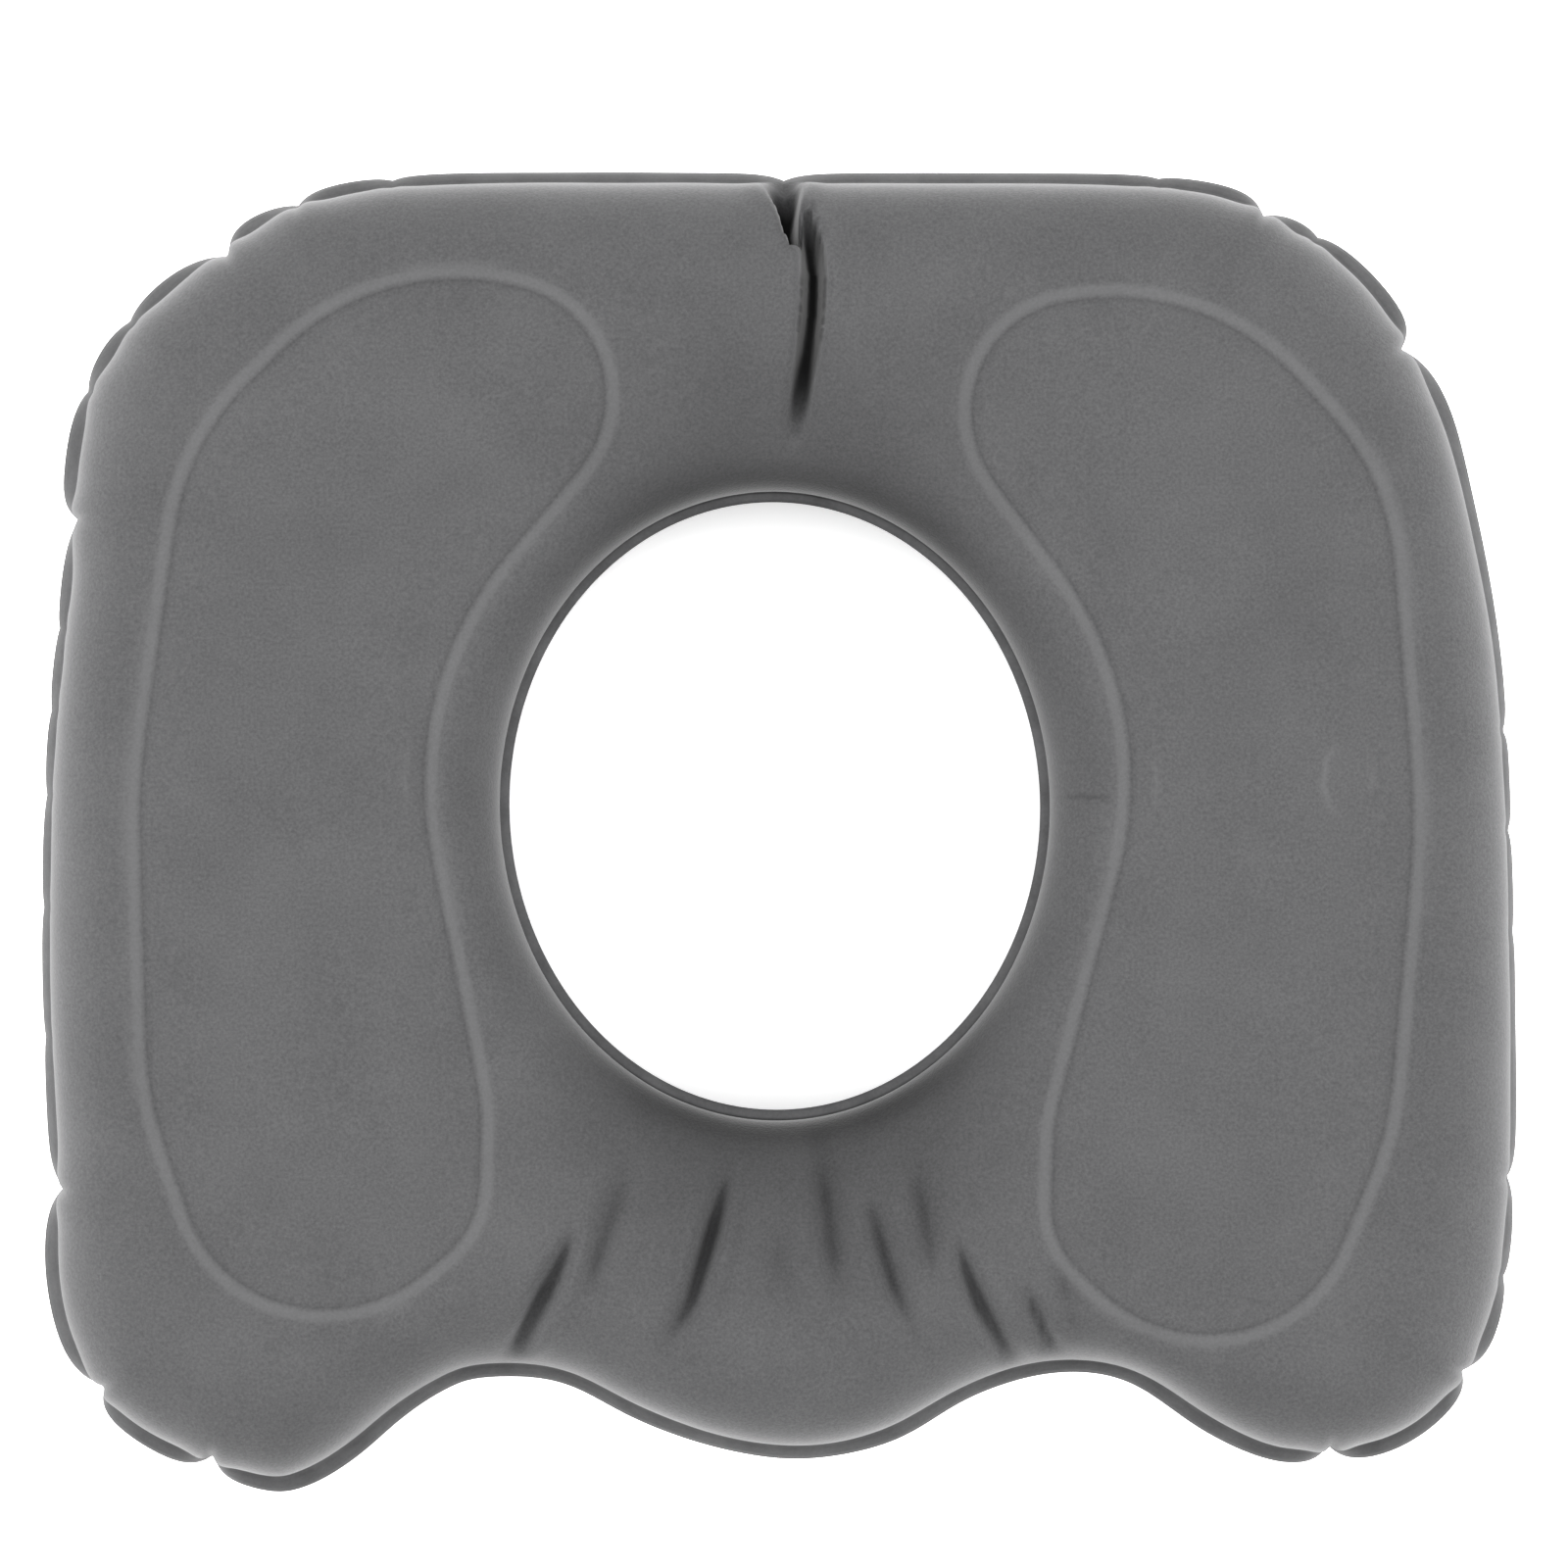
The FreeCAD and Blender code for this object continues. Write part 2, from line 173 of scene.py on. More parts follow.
SHEET = 0.5                # mm thick
EDGE_ROLL = 28.0           # mm, width of the rounded outer edge
EDGE_BULGE = 3.0           # mm that the sheet bulges out just above the strip
OPENING_HALF = (77.4, 88.6)    # mm, half width and half length of the clear opening
OPENING_CENTRE = (-0.7, 6.9)   # mm
OPENING_TURN = math.radians(1.5)
OPENING_WELD = 3.0         # mm, welded strip round the opening
OPENING_STRIP = (0.0, 0.35, 0.7, 1.0)       # its rows, as for the outer strip
OPENING_SEAM = len(OPENING_STRIP) - 1
OPENING_BULGE = 5.0        # mm
TIED_HEIGHT = 32.2         # mm above mid-height, along the kidney welds
PUFF = 1.0                 # mm that it rises away from them
WEB_PUFF = 1.0             # mm more, in front of and behind the opening
WEB_HALF_WIDTH = 62.0      # mm, how far that reaches to each side
GROOVE_DEPTH = 0.45        # mm, the soft hollow along a weld
GROOVE_WIDTH = 4.5         # mm
BEAD_HEIGHT = 0.3          # mm, the weld itself, a flattened ridge in the groove
BEAD_WIDTH = 1.9           # mm
FLOOR_GAP = 0.25           # mm from the floor to the underside's outer face
FLOOR_SOFTNESS = 0.4       # mm over which the underside turns flat


def evenly(loop, step):
    """A closed loop's points again, about step mm apart."""
    distance, length = along(loop)
    steps = np.arange(0, length, step)
    closed = np.append(distance, length)
    return np.stack([np.interp(steps, closed, np.append(loop[:, k], loop[0, k])) for k in range(2)], 1)


def weld_loop(wall):
    """The line where a tension wall is welded to a sheet, as points 0.25 mm apart."""
    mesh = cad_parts[wall].data
    runs = set()
    for face in mesh.polygons:
        if face.normal.z > 0.3 and face.center.z / MM > mid_height + 25:
            corners = [tuple(round(c / MM, 3) for c in mesh.vertices[k].co[:2]) for k in face.vertices]
            runs.update(zip(corners, corners[1:] + corners[:1]))
    ahead = {start: end for start, end in runs if (end, start) not in runs and start != end}
    spot = min(ahead)
    line = [spot]
    while ahead[spot] != line[0]:
        spot = ahead[spot]
        line.append(spot)
    return evenly(soften(evenly(np.array(line), 1), 12), 0.25)


def search_tree(points):
    """A tree that finds the nearest of some points, seen from above."""
    tree = KDTree(len(points))
    for k, (x, y) in enumerate(points[:, :2]):
        tree.insert((x, y, 0), k)
    tree.balance()
    return tree


def distances_to(tree, points):
    """Distance in mm from each point, seen from above, to the nearest point of the tree."""
    return np.array([tree.find((x, y, 0))[2] for x, y in points[:, :2]])


weld_loops = [weld_loop("left_tension_wall"), weld_loop("right_tension_wall")]
weld_tree = search_tree(np.vstack(weld_loops))


def rise(points, to_weld):
    """How far the blown-up sheet stands from mid-height, before its creases."""
    x, y = points[:, 0], points[:, 1]
    web = np.exp(-(x / WEB_HALF_WIDTH) ** 4) * (1 - np.exp(-((y - OPENING_CENTRE[1]) / 95) ** 4))
    lumps = (0.25 * np.sin(x / 17 + 0.8 * np.sin(y / 23)) * np.sin(y / 21 + 1.7)
             + 0.20 * np.sin(x / 31 + 2.1) * np.sin(y / 37 + 0.4 * np.sin(x / 19)))
    lumps *= 1 - np.exp(-(to_weld / 8) ** 2)
    return TIED_HEIGHT + PUFF * (1 - np.exp(-(to_weld / 11) ** 2)) + WEB_PUFF * web + lumps


def opening_ring(angles, out):
    """Points out mm outside the clear opening in the given directions, and the way out."""
    half_width, half_length = OPENING_HALF
    turned = angles - OPENING_TURN
    t = np.arctan2(np.sin(turned) / half_length, np.cos(turned) / half_width)
    normal = np.stack([half_length * np.cos(t), half_width * np.sin(t)], 1)
    normal /= np.linalg.norm(normal, axis=1)[:, None]
    ring = np.stack([half_width * np.cos(t), half_length * np.sin(t)], 1)
    ring += normal * np.reshape(out, (-1, 1))
    cos, sin = math.cos(OPENING_TURN), math.sin(OPENING_TURN)
    turn = np.array([[cos, sin], [-sin, cos]])
    return ring @ turn + np.array(OPENING_CENTRE), normal @ turn


def strip_rows(middle, side):
    """Rows of the sheet's outer face, half a strip's thickness off the strip's middle."""
    normal = np.cross(np.gradient(middle, axis=0), np.roll(middle, -1, 1) - np.roll(middle, 1, 1))
    normal /= np.linalg.norm(normal, axis=2)[..., None]
    normal *= np.sign(normal[..., 2:].mean()) * side
    return middle + normal * (SHEET + 0.02), normal


def rolled_rows(start, away, width, bulge, count, side, fade):
    """Rows that rise from a weld at start and round over towards away, and their normals.

    fade: what each row keeps of the pinched folds, as a function of its distance.
    """
    rows, normals = [], []
    for k in range(1, count + 1):
        angle = math.pi / 2 * k / count
        depth = width * (1 - math.cos(angle)) - bulge * math.sin(angle) * math.cos(angle) ** 2
        flat = soften(start + away * np.reshape(depth, (-1, 1)) + fade(depth), k * k // 3)
        full = rise(flat, distances_to(weld_tree, flat)) * side
        height = SHEET * side * (1 - k / count) + full * math.sin(angle)
        rows.append(np.column_stack([flat, height]))
        upward = np.full(len(flat), side * math.sin(angle))
        normals.append(np.column_stack([-away * math.cos(angle), upward]))
    return np.array(rows), np.array(normals)


def outer_rows(side, columns, count):
    """The strip and the rounded edge, from the strip's cut edge inwards."""
    outer, shown, inward = edge_at(columns)
    notch = np.zeros(len(columns))
    pinched = np.zeros(len(columns))
    lift = np.zeros(len(columns))
    for k, (x, y, depth, before, after) in enumerate(pinches):
        gap = signed_gap(columns, distance_at(x, y))
        notch += depth * np.exp(-np.abs(gap) / np.where(gap < 0, before, after))
        reach = np.where(gap < 0, before, after) + 2
        pinched = np.maximum(pinched, min(1, depth / 4) * np.exp(-(gap / reach) ** 2))
        lift += (-1) ** k * 0.35 * depth * np.exp(-(gap / 9) ** 2)
    ripple = 0.35 * np.sin(columns / 7.3 + 1.5 * np.sin(columns / 41)) * (1 - pinched)
    shown = np.clip(shown * (1 - 0.92 * pinched) + 0.25 * ripple, 0.25, WELD_WIDTH)
    hang = -np.sqrt(WELD_WIDTH ** 2 - shown ** 2)
    middle = []
    for share in EDGE_STRIP:
        flat = outer + inward * (notch + shown * share)[:, None]
        middle.append(np.column_stack([flat, lift + ripple + hang * (1 - share) ** 1.3]))
    strip, strip_normals = strip_rows(np.array(middle), side)

    seam = outer + inward * shown[:, None]
    width = soften(np.minimum(EDGE_ROLL, 0.93 * distances_to(weld_tree, seam)), 80)

    def fade(depth):
        return inward * (notch * np.exp(-depth / PINCH_FADE))[:, None]

    roll, roll_normals = rolled_rows(seam, inward, width, EDGE_BULGE, count, side, fade)
    roll[..., 2] += (lift + ripple) * np.exp(-np.arange(1, count + 1) / 3)[:, None]
    return np.concatenate([strip, roll]), np.concatenate([strip_normals, roll_normals])


def opening_rows(side, columns, count):
    """The strip round the opening and the rounded edge above it, from the strip outwards."""
    angles = np.linspace(0, 2 * math.pi, columns, endpoint=False)
    middle = []
    for share in OPENING_STRIP:
        flat, _ = opening_ring(angles, OPENING_WELD * share)
        middle.append(np.column_stack([flat, np.full(columns, -0.8 * (1 - share) ** 2)]))
    strip, strip_normals = strip_rows(np.array(middle), side)
    seam, outward = opening_ring(angles, OPENING_WELD)
    lengthwise = np.abs(np.sin(angles)) ** 2.2 * np.where(np.sin(angles) > 0, 24, 30)
    width = soften(np.minimum(20 + lengthwise, 0.9 * distances_to(weld_tree, seam)), 40)
    roll, roll_normals = rolled_rows(seam, outward, width, OPENING_BULGE, count, side,
                                     lambda depth: 0)
    return np.concatenate([strip, roll]), np.concatenate([strip_normals, roll_normals])


def crease(points, path, sharpness, shoulder):
    """How far a crease sinks each point. path: (x, y, half width, depth) in mm."""
    x, y = points[:, 0], points[:, 1]
    best = np.full(x.shape, 1e9)
    width = np.ones(x.shape)
    depth = np.zeros(x.shape)
    for start, end in zip(path, path[1:]):
        dx, dy = end[0] - start[0], end[1] - start[1]
        t = np.clip(((x - start[0]) * dx + (y - start[1]) * dy) / (dx * dx + dy * dy), 0, 1)
        gap = np.hypot(x - start[0] - t * dx, y - start[1] - t * dy)
        closer = gap < best
        best = np.where(closer, gap, best)
        width = np.where(closer, start[2] + t * (end[2] - start[2]), width)
        depth = np.where(closer, start[3] + t * (end[3] - start[3]), depth)
    ratio = best / width
    return depth * (np.exp(-ratio ** sharpness) - shoulder * np.exp(-((ratio - 2.1) / 0.9) ** 2))


def creases(points, paths, sharpness, shoulder):
    """How far a group of creases sinks each point."""
    return sum((crease(points, path, sharpness, shoulder) for path in paths), np.zeros(len(points)))


# The deep fold behind the opening, in two overlapping parts, and the gathers in front
# of it. Each is a path of x, y, half width and depth, in mm.
back_folds = [
    [(1.6, 189.5, 4.6, 8), (2.2, 186, 3.8, 16), (3.3, 180, 2.4, 20), (3.9, 175, 1.9, 20),
     (5.1, 170.6, 1.5, 14), (5.7, 168.5, 1.2, 0)],
    [(8.3, 178.5, 0.9, 0), (8.8, 175.5, 1.8, 12), (10.0, 169, 2.6, 22), (10.5, 160, 2.9, 24),
     (10.1, 149, 2.9, 22), (8.8, 137, 2.9, 14), (7.2, 127, 3.0, 8), (5.8, 117, 3.2, 3),
     (4.8, 109, 3.2, 0)],
]
front_gathers = [
    [(-58, -114, 1.8, 0), (-61, -122, 2.4, 3.6), (-67, -134, 2.8, 7), (-74, -148, 2.6, 4),
     (-78, -156, 2.4, 0)],
    [(-14, -97, 1.8, 0), (-16, -105, 2.2, 3.4), (-19, -116, 2.6, 7), (-24.5, -135, 2.6, 4.5),
     (-31, -147, 2.8, 1.4), (-34, -153, 2.8, 0)],
    [(-43, -96, 3.4, 0), (-46, -106, 3.4, 3), (-52, -124, 3.4, 3), (-56, -138, 3.4, 0)],
    [(0, -112, 3.6, 0), (0.5, -124, 3.6, 2.2), (1.5, -140, 3.6, 0)],
    [(12.5, -88, 3.8, 0), (14, -102, 3.8, 3.4), (16.5, -122, 3.8, 3.2), (18.5, -140, 3.6, 0)],
    [(26, -103, 2.4, 0), (28.5, -114, 2.8, 3), (33.5, -131, 2.8, 3.6), (40, -146, 2.6, 1),
     (42, -152, 2.6, 0)],
    [(40, -92, 3.0, 0), (41.5, -105, 3.0, 3), (43.5, -119, 3.0, 2.6), (45, -130, 3.0, 0)],
    [(51, -117, 1.8, 0), (54, -126, 2.4, 3.6), (58.5, -137, 2.7, 6), (65.5, -150, 2.4, 2.5),
     (69, -157, 2.2, 0)],
    [(70, -130, 2.0, 0), (73.5, -137, 2.3, 3), (78.5, -148, 2.3, 2.6), (81, -154, 2.2, 0)],
    [(79, -124, 2.4, 0), (82, -131, 2.6, 1.9), (85, -141, 2.6, 1.4), (87, -147, 2.4, 0)],
]
# Faint marks, raised where the depth is below zero: the print that the valve left when
# the cushion was packed flat, and short lines beside it and on the far side. The last
# is a shallow fold that runs out from the opening, with painted shade in its depth.
faint_marks = [
    [(162, 26, 0.8, 0), (158, 21, 0.9, -0.2), (156.8, 13, 0.9, -0.25), (158.6, 7, 0.9, -0.2),
     (163, 3, 0.8, 0)],
    [(170.5, 18, 0.7, 0), (171, 14, 0.8, -0.18), (170.6, 9, 0.7, 0)],
    [(108.5, 23, 0.9, 0), (108.9, 14, 0.9, -0.14), (108.6, 4, 0.9, 0)],
    [(-105.5, 30, 0.9, 0), (-107, 16, 1.0, -0.16), (-106, 0, 0.9, 0)],
    [(80.5, 9.2, 0.8, 0), (86, 9.6, 0.9, 0.22), (93, 9.4, 0.9, 0.22), (98, 9.6, 0.8, 0)],
]
# Two shallow gathers in front of the opening, on the underside.
under_gathers = [
    [(-40, -118, 2.4, 0), (-44, -132, 2.2, 2.0), (-50, -148, 2.0, 1.0), (-51, -152, 1.8, 0)],
    [(48, -112, 2.4, 0), (54, -130, 2.2, 2.2), (60, -146, 2.0, 1.0), (62, -150, 1.8, 0)],
]


# The underside is drawn in round the valve, so that the valve never touches the floor.
VALVE = np.array([sum(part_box("valve_stem")[k][axis] for k in (0, 1)) / 2 / MM for axis in (0, 1)])
VALVE_HOLE = 8.5           # mm, radius of the hole in the sheet
DIMPLE_INNER = 15.5        # mm, radius of the level sheet that is welded to the flange
DIMPLE_OUTER = 19.0        # mm, radius where the dimple meets the floor
DIMPLE_HEIGHT = 4.0        # mm above the floor


def beside(line, offsets):
    """Copies of an open or closed line of points, moved sideways by each offset."""
    run = np.gradient(line, axis=0)
    run /= np.linalg.norm(run, axis=1)[:, None]
    normal = np.stack([-run[:, 1], run[:, 0]], 1)
    return np.vstack([line + normal * offset for offset in offsets])


def spread(path, step):
    """Points about step mm apart along a path's straight runs."""
    spots = [np.array(path[0][:2], float)]
    for start, end in zip(path, path[1:]):
        start, end = np.array(start[:2], float), np.array(end[:2], float)
        count = max(1, round(np.linalg.norm(end - start) / step))
        spots += [start + (end - start) * k / count for k in range(1, count + 1)]
    return np.array(spots)


def inside(loop, points):
    """Which points lie inside a closed loop."""
    result = np.zeros(len(points), bool)
    x, y = points[:, 0], points[:, 1]
    for (x1, y1), (x2, y2) in zip(loop, np.roll(loop, -1, 0)):
        if y1 != y2:
            crosses = (y1 > y) != (y2 > y)
            result ^= crosses & (x < (x2 - x1) * (y - y1) / (y2 - y1) + x1)
    return result


# Where the mesh has extra lines of points, in mm to each side of a weld or a crease.
WELD_LINES = (0, -1, 1, -1.9, 1.9, -2.6, 2.6, -3.3, 3.3, -4.8, 4.8)
CREASE_LINES = (0, -0.8, 0.8, -1.7, 1.7, -2.7, 2.7, -4.2, 4.2)
RING_CLEARANCE = 0.9       # mm, the least distance of a point from the rounded edges' rings
POINT_CLEARANCE = 0.55     # mm, the least distance between two points


def seat_points(rings, paths, spacing, valve_rings):
    """Points that fill the level part of a sheet, finer along its welds and creases."""
    wanted = [beside(loop[::6], WELD_LINES) for loop in weld_loops]
    wanted += [beside(spread(path, 1.6), CREASE_LINES) for path in paths]
    low, high = rings[0].min(0), rings[0].max(0)
    rows = np.arange(low[1], high[1], spacing * 0.866)
    for k, y in enumerate(rows):
        x = np.arange(low[0] + spacing / 2 * (k % 2), high[0], spacing)
        wanted.append(np.column_stack([x, np.full(len(x), y)]))
    wanted = np.vstack(wanted)

    near_ring = distances_to(search_tree(np.vstack(rings)), wanted) < RING_CLEARANCE
    wanted = wanted[inside(rings[0], wanted) & ~inside(rings[1], wanted) & ~near_ring]
    if len(valve_rings):
        wanted = wanted[np.hypot(*(wanted - VALVE).T) > DIMPLE_OUTER + 2.5]
        wanted = np.vstack([valve_rings, wanted])
    tree = search_tree(wanted)
    dropped = set()
    for k, (x, y) in enumerate(wanted):
        if k not in dropped:
            close = tree.find_range((x, y, 0), POINT_CLEARANCE)
            dropped.update(j for _, j, _ in close if j > k)
    return wanted[[k for k in range(len(wanted)) if k not in dropped]]


def ring_faces(start, rows, columns, flip):
    """Quads between rows of points whose first index is start."""
    index = start + np.arange(rows * columns).reshape(rows, columns)
    ahead = np.roll(index, -1, 1)
    corners = [index[:-1], ahead[:-1], ahead[1:], index[1:]]
    if flip:
        corners.reverse()
    return np.stack(corners, 2).reshape(-1, 4).tolist()


def fill_between(name, rings, seat, valve_rings):
    """Triangles between the two rings, over the seat's points.

    They index the outer ring's points, then the opening ring's, then the seat's.
    """
    flat = [Vector(p) for p in np.vstack([rings[0], rings[1], seat])]
    edge_count = len(rings[0])
    ring_count = edge_count + len(rings[1])
    loops = [(0, edge_count), (edge_count, len(rings[1]))]
    held = [(first + k, first + (k + 1) % count) for first, count in loops for k in range(count)]
    _, _, triangles, origins, _, _ = delaunay_2d_cdt(flat, held, [], 0, 1e-6)
    if not all(origins):
        raise ValueError(f"{name}: its rings cross")
    triangles = np.array([[origins[k][0] for k in triangle] for triangle in triangles])
    centres = np.array([v[:] for v in flat])[triangles].mean(1)
    on_rings = (triangles < ring_count).all(1)
    keep = np.ones(len(triangles), bool)
    keep[on_rings] = inside(rings[0], centres[on_rings]) & ~inside(rings[1], centres[on_rings])
    if len(valve_rings):
        keep &= np.hypot(*(centres - VALVE).T) > VALVE_HOLE * 0.99
    return triangles[keep]


def rest_on_floor(points):
    """Flattens the underside on the floor and lifts it into the dimple round the valve."""
    floor_level = FLOOR_GAP - mid_height
    height = (points[:, 2] - floor_level) / FLOOR_SOFTNESS
    points[:, 2] = floor_level + np.logaddexp(0, height) * FLOOR_SOFTNESS
    from_valve = np.hypot(*(points[:, :2] - VALVE).T)
    share = np.clip((DIMPLE_OUTER - from_valve) / (DIMPLE_OUTER - DIMPLE_INNER), 0, 1)
    points[:, 2] += share * (DIMPLE_HEIGHT - mid_height - points[:, 2])


def painted_flock_shade(points, open_grid, to_weld, within, fold, gather):
    """Painted shade on the flock, in two arrays.

    The first is painted shade in the depths of folds and gathers and along the inner side of
    the kidney welds. The second is painted shade round the opening, in front of and behind
    it, which the opening's own strip does not get.
    """
    # Painted shade in the depths of folds and gathers.
    shade = np.clip((fold - 2) / 7, 0, 1) + np.clip(gather / 15, 0, 0.5)
    # Painted shade in the crease along the inner side of each kidney weld.
    shade += 0.2 * within * np.exp(-((to_weld - 2.7) / 0.6) ** 2)
    from_opening = distances_to(search_tree(open_grid[OPENING_SEAM]), points)
    # Painted shade round the opening: broad in front of and behind it, and strong just beside its seam.
    painted_opening_shade = np.where(points[:, 1] < 0, 0.42, 0.28) * np.exp(-(from_opening / 42) ** 2)
    painted_opening_shade += 0.55 * np.exp(-(from_opening / 6) ** 2)
    return shade, painted_opening_shade * np.exp(-((points[:, 0] - 4) / WEB_HALF_WIDTH) ** 4)


def sheet_object(name, points, faces, strip, attributes):
    """The sheet as an object with its thickness, and its strips in the second material."""
    mesh = bpy.data.meshes.new(name)
    mesh.from_pydata(((points + [0, 0, mid_height]) * MM).tolist(), [], faces)
    for label, values in attributes:
        mesh.attributes.new(label, "FLOAT", "POINT").data.foreach_set("value", np.clip(values, 0, 1))
    strip_face = [bool(strip[face[0]] or strip[face[2]]) for face in faces]
    mesh.polygons.foreach_set("material_index", np.array(strip_face, np.int32))
    mesh.update()
    sheet = bpy.data.objects.new(name, mesh)
    bpy.context.scene.collection.objects.link(sheet)
    solidify = sheet.modifiers.new("thickness", "SOLIDIFY")
    solidify.thickness = SHEET * MM
    solidify.offset = -1
    solidify.material_offset = 2
    solidify.material_offset_rim = 3
    bpy.context.view_layer.objects.active = sheet
    sheet.select_set(True)
    bpy.ops.object.modifier_apply(modifier=solidify.name)
    sheet.select_set(False)
    sheet.data.shade_smooth()
    return sheet


# The mesh's columns stand closer together at the rear fold, at each pinched fold and
# where the front gathers run out at the edge: distance along it, reach, times closer.
close_spots = [(distance_at(2, 190), 16, 4)]
for x, y, depth, before, after in pinches:
    close_spots.append((distance_at(x, y), 5, 1 + min(2.5, depth / 2)))
for x in (-74, -30, 17, 38, 66):
    close_spots.append((distance_at(x, -165), 12, 1.6))


def blown_sheet(name, side, column_count, open_columns, roll_count, spacing,
                folds, gathers, marks=(), valve_rings=()):
    """One sheet as a closed mesh of its real thickness.

    side: +1 for the upper sheet and -1 for the lower. valve_rings: points round the hole
    for the valve, the hole's own edge first.
    """
    edge_grid, edge_normals = outer_rows(side, edge_columns(column_count, close_spots), roll_count)
    open_grid, open_normals = opening_rows(side, open_columns, roll_count)
    rings = [edge_grid[-1, :, :2], open_grid[-1, :, :2]]
    seat = seat_points(rings, [*folds, *gathers, *marks], spacing, valve_rings)
    seat_heights = side * rise(seat, distances_to(weld_tree, seat))
    up = np.tile([0, 0, side], (len(seat), 1))
    points = np.vstack([edge_grid.reshape(-1, 3), open_grid.reshape(-1, 3),
                        np.column_stack([seat, seat_heights])])
    normals = np.vstack([edge_normals.reshape(-1, 3), open_normals.reshape(-1, 3), up])
    open_start = edge_grid.shape[0] * column_count
    seat_start = len(points) - len(seat)
    strip = np.zeros(len(points), bool)
    strip[:EDGE_SEAM * column_count] = True
    strip[open_start:open_start + OPENING_SEAM * open_columns] = True

    to_weld = distances_to(weld_tree, points)
    within = inside(weld_loops[0][::8], points) | inside(weld_loops[1][::8], points)
    from_seam = distances_to(search_tree(edge_grid[EDGE_SEAM]), points)
    fold = creases(points, folds, 3.0, 0.06) * np.clip(from_seam / 1.5, 0, 1)
    gather = creases(points, gathers, 1.6, 0.22) * np.clip(from_seam / 7, 0, 1)
    mark = creases(points, marks, 2.0, 0)
    sink = fold + gather + mark + (GROOVE_DEPTH * np.exp(-(to_weld / GROOVE_WIDTH) ** 2)
                                   - BEAD_HEIGHT * np.exp(-(to_weld / BEAD_WIDTH) ** 2))
    sink[strip] = 0
    points -= normals * sink[:, None]

    shade, painted_opening_shade = painted_flock_shade(points, open_grid, to_weld, within, fold, gather)
    # The opening's own strip gets none of this painted shade.
    painted_opening_shade[open_start:open_start + OPENING_SEAM * open_columns] = 0
    # Painted shade round the opening, and in the shallow fold among the faint marks.
    shade += painted_opening_shade + np.clip(mark, 0, 1)
    # Darker along both strips' cut edges; painted shade over the rest of the outer strip, which the
    # glowing table lights more than the opening's, and along the opening's seam, where the rounded edge
    # overhangs its strip.
    edge_shade = shade[:open_start].reshape(-1, column_count)
    edge_shade[0] += 0.9
    edge_shade[1:EDGE_SEAM + 1] += 0.25
    open_shade = shade[open_start:seat_start].reshape(-1, open_columns)
    open_shade[0] += 0.2
    open_shade[OPENING_SEAM] += 0.4
    pressed = np.exp(-(to_weld / 1.8) ** 4) + np.clip(-mark * 4, 0, 1)

    used = np.concatenate([np.arange(open_start - column_count, open_start),
                           np.arange(seat_start - open_columns, seat_start),
                           np.arange(seat_start, len(points))])
    triangles = used[fill_between(name, rings, seat, valve_rings)]
    faces = (ring_faces(0, edge_grid.shape[0], column_count, side < 0)
             + ring_faces(open_start, open_grid.shape[0], open_columns, side > 0)
             + triangles[:, ::side].tolist())
    if side < 0:
        rest_on_floor(points)
    sheet = sheet_object(name, points, faces, strip, [("pile_pressed", pressed), ("shade", shade)])
    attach(sheet, "cushion")
    return sheet


top = blown_sheet("flocked_top_sheet", 1, 960, 960, 13, 2.2, back_folds, front_gathers, faint_marks)
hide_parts("top_sheet")
valve_angles = np.linspace(0, 2 * math.pi, 72, endpoint=False)
valve_circle = np.stack([np.cos(valve_angles), np.sin(valve_angles)], 1)
valve_rings = np.vstack([VALVE + radius * valve_circle
                         for radius in (VALVE_HOLE, 10.5, 13, DIMPLE_INNER, 17.2, DIMPLE_OUTER, 20.5)])
bottom = blown_sheet("flocked_bottom_sheet", -1, 640, 320, 11, 4.0, [], under_gathers,
                     valve_rings=valve_rings)
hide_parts("bottom_sheet")


# ------------------------------------------------------------------ the flock itself
# Nylon flock 0.5 mm long on PVC: a soft matt grey velvet. Its fibre ends catch light at
# a glancing angle, so it turns pale wherever the surface leans away from the eye.

def linear(hex_colour):
    """sRGB hex to linear red, green, blue and alpha."""
    parts = [int(hex_colour[k:k + 2], 16) / 255 for k in (1, 3, 5)]
    return [c / 12.92 if c <= 0.04045 else ((c + 0.055) / 1.055) ** 2.4 for c in parts] + [1.0]


def add_node(tree, kind, settings=None, links=None):
    """One node. settings: property or input to value; links: input to another's output."""
    node = tree.nodes.new(kind)
    for name, value in (settings or {}).items():
        if isinstance(name, str) and name in node.bl_rna.properties:
            setattr(node, name, value)
        else:
            node.inputs[name].default_value = value
    for name, output in (links or {}).items():
        tree.links.new(output, node.inputs[name])
    return node


def new_material(name):
    """A material with an empty tree but for its output, and the piece's own coordinates."""
    material = bpy.data.materials.new(name)
    material.use_nodes = True
    tree = material.node_tree
    tree.nodes.clear()
    output = tree.nodes.new("ShaderNodeOutputMaterial")
    return material, tree, output, add_node(tree, "ShaderNodeTexCoord").outputs["Object"]


def per_metre(size_mm):
    """The noise scale that makes features of this size."""
    return 1 / (size_mm * MM)


def ramp_between(tree, factor, low, dark, high, light):
    """A colour that runs from dark at low to light at high."""
    ramp = add_node(tree, "ShaderNodeValToRGB", links={"Fac": factor})
    for element, position, colour in zip(ramp.color_ramp.elements, (low, high), (dark, light)):
        element.position = position
        element.color = linear(colour)
    return ramp.outputs["Color"]


def shaded(tree, colour, dark, most):
    """Darkens a colour by the shade attribute: painted shade in folds, gathers and creases, round the
    opening and over the strips, and the darker cut edges.
    """
    shade = add_node(tree, "ShaderNodeAttribute", {"attribute_name": "shade"}).outputs["Fac"]
    share = add_node(tree, "ShaderNodeMath", {"operation": "MULTIPLY", 1: most}, {0: shade})
    return add_node(tree, "ShaderNodeMix", {"data_type": "RGBA", 7: linear(dark)},
                    {0: share.outputs[0], 6: colour}).outputs[2]


